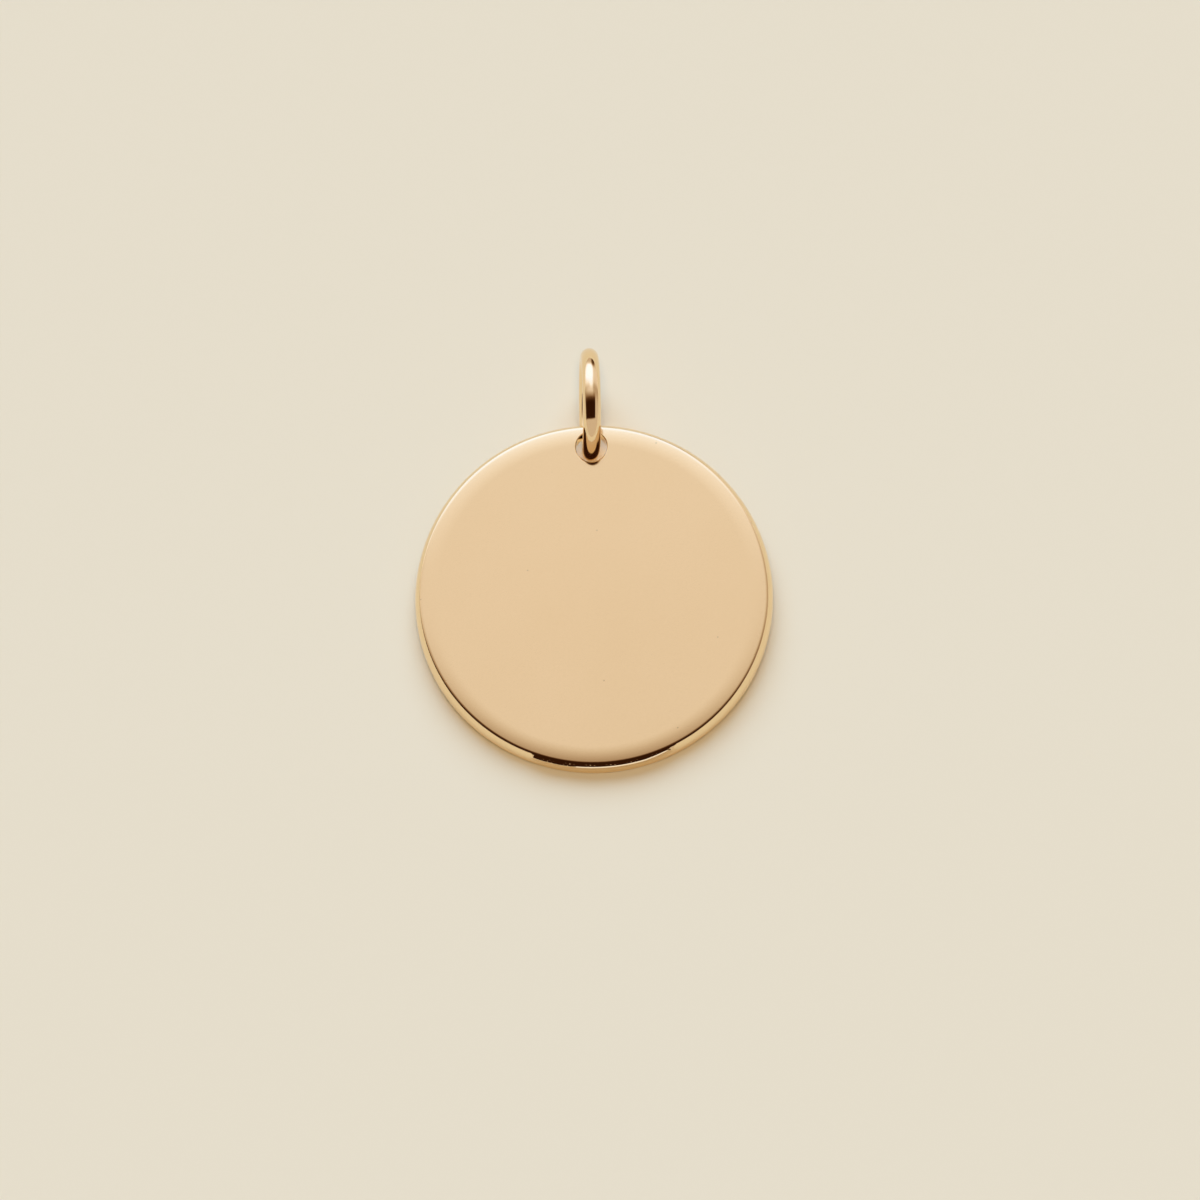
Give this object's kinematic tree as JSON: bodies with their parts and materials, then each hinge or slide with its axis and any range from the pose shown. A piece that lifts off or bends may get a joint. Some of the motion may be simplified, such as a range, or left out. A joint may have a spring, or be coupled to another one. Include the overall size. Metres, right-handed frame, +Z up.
{
  "type": "disc pendant",
  "caption": "Plain polished gold disc pendant with a small round hole near the rim and a round-wire jump ring standing through it, lying face up.",
  "frame": {"origin": "on the surface that the pendant lies on, under the middle of its bounding box", "axes": "+Z up from the surface, +Y along the length from the disc towards the jump ring, +X across"},
  "size_m": [0.016, 0.0192, 0.0051],
  "materials": {
    "disc": "mirror-polished yellow gold, plain, with a soft buffed rim",
    "jump_ring": "polished yellow gold wire"
  },
  "bodies": {
    "root": {"disc": "disc", "jump_ring": "jump_ring"}
  },
  "joints": []
}
